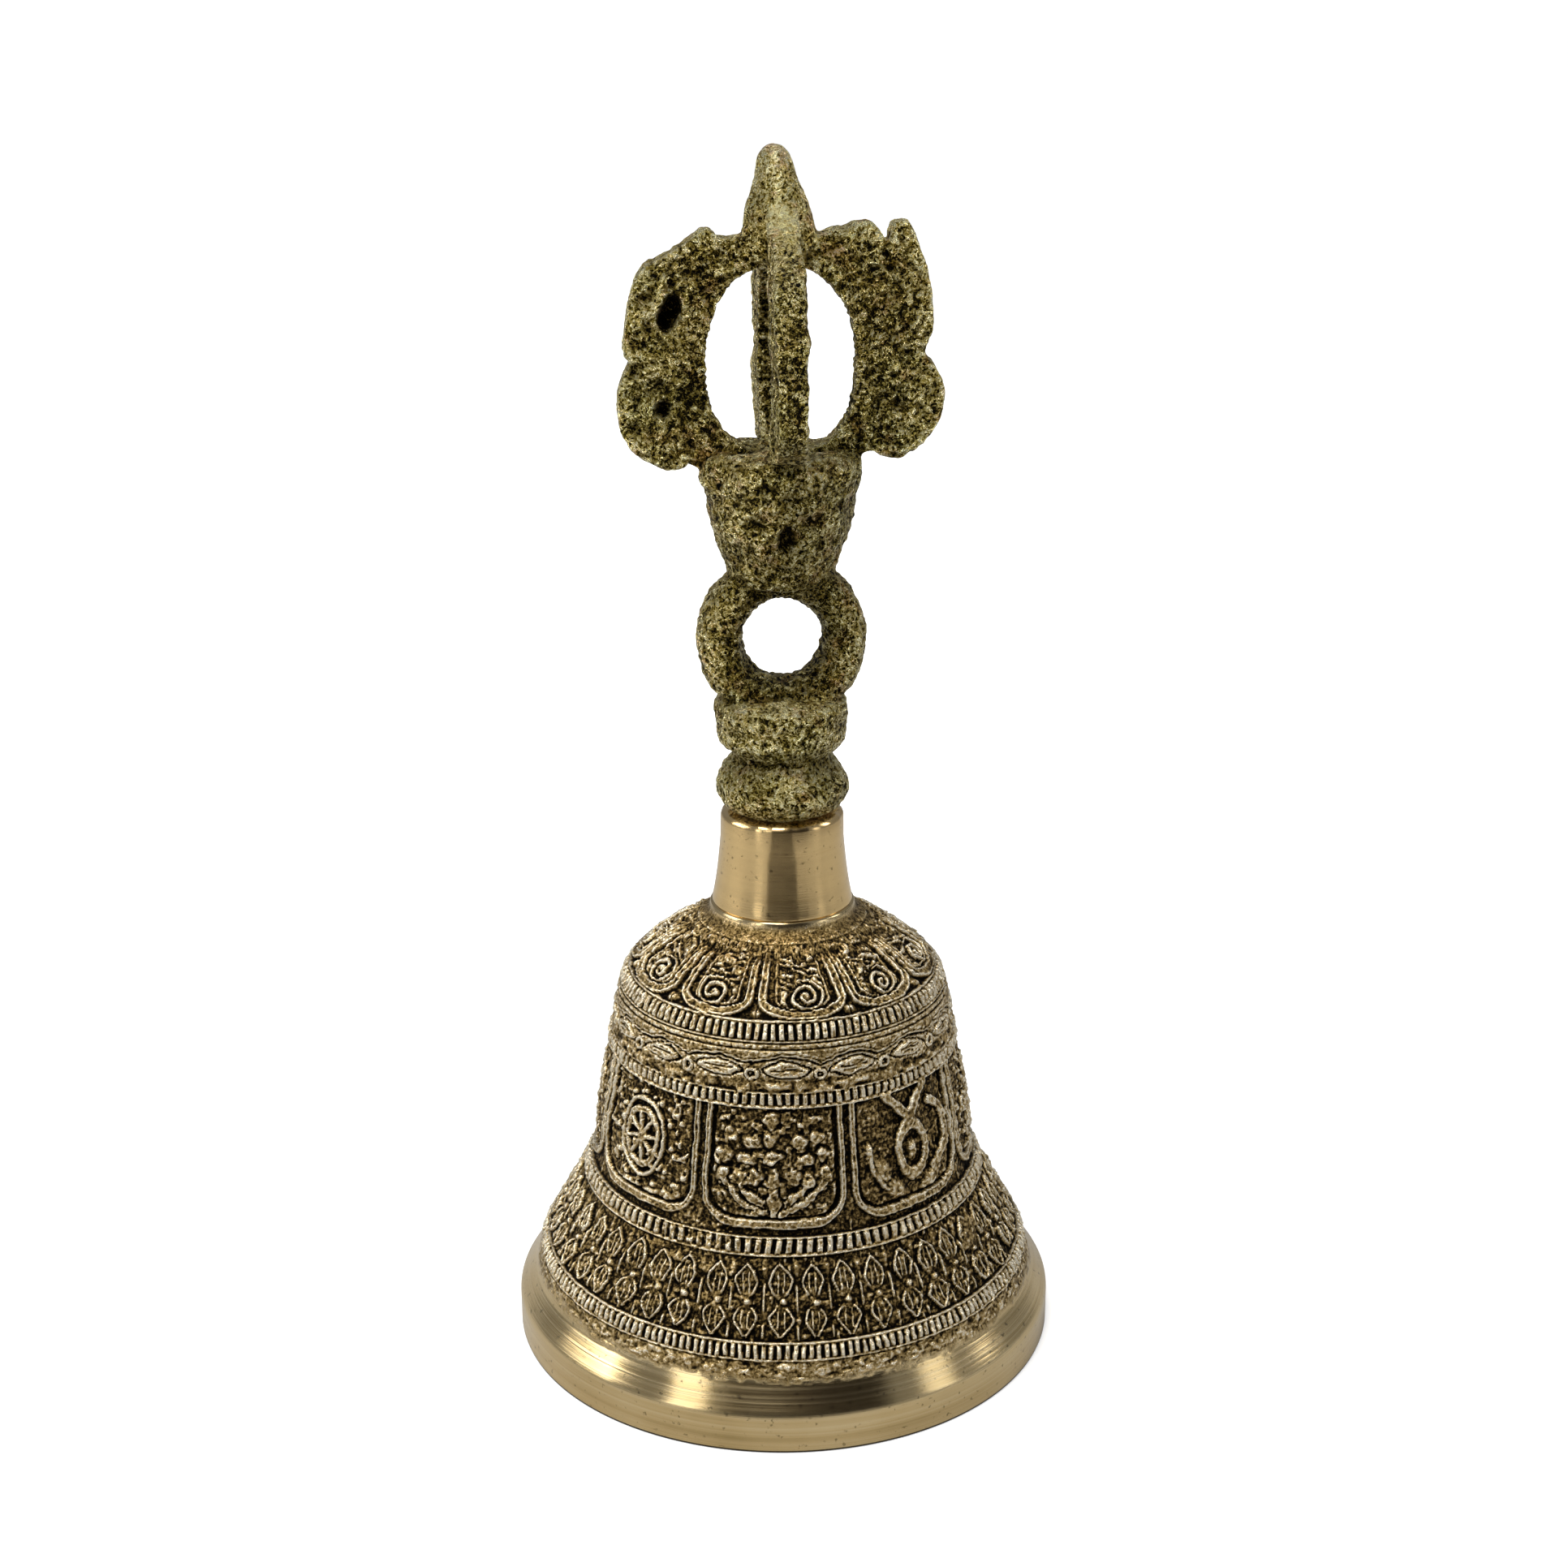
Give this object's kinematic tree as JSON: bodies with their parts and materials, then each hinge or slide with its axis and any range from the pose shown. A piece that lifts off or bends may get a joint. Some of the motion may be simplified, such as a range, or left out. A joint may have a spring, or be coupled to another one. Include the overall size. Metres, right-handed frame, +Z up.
{
  "type": "hand bell",
  "caption": "Bronze hand bell with a cast half-vajra handle, an open prong cage, a ring below it, a turned ferrule and a free-hanging clapper.",
  "frame": {"origin": "centre of the bell's mouth, on the surface that the lip stands on", "axes": "+Z up the bell's axis towards the tip of the handle, +Y along the hole of the handle's ring towards the back, +X to the right seen from the front"},
  "size_m": [0.071, 0.071, 0.1527],
  "materials": {
    "cast_bronze": "cast relief, dark patina in the recesses, turned lip",
    "turned_bronze": "turned and brushed",
    "rough_brass": "rough sand-cast with olive patina",
    "steel": "dull",
    "clapper_brass": "turned, worn"
  },
  "bodies": {
    "bell": {"bell_shell": "cast_bronze", "neck_ferrule": "turned_bronze", "handle": "rough_brass", "eye_bolt": "steel", "crown_washer": "steel", "crown_nut": "steel"},
    "link": {"hanger_link": "steel"},
    "clapper": {"clapper_rod": "steel", "clapper_ball": "clapper_brass"}
  },
  "joints": [
    {"name": "link_swing", "type": "hinge", "parent": "bell", "child": "link", "pos_m": [0, 0, 0.0403], "axis": [0, 1, 0], "range_deg": [-25, 25]},
    {"name": "clapper_swing", "type": "hinge", "parent": "link", "child": "clapper", "pos_m": [0, 0, 0.03535], "axis": [1, 0, 0], "range_deg": [-28, 28]}
  ]
}
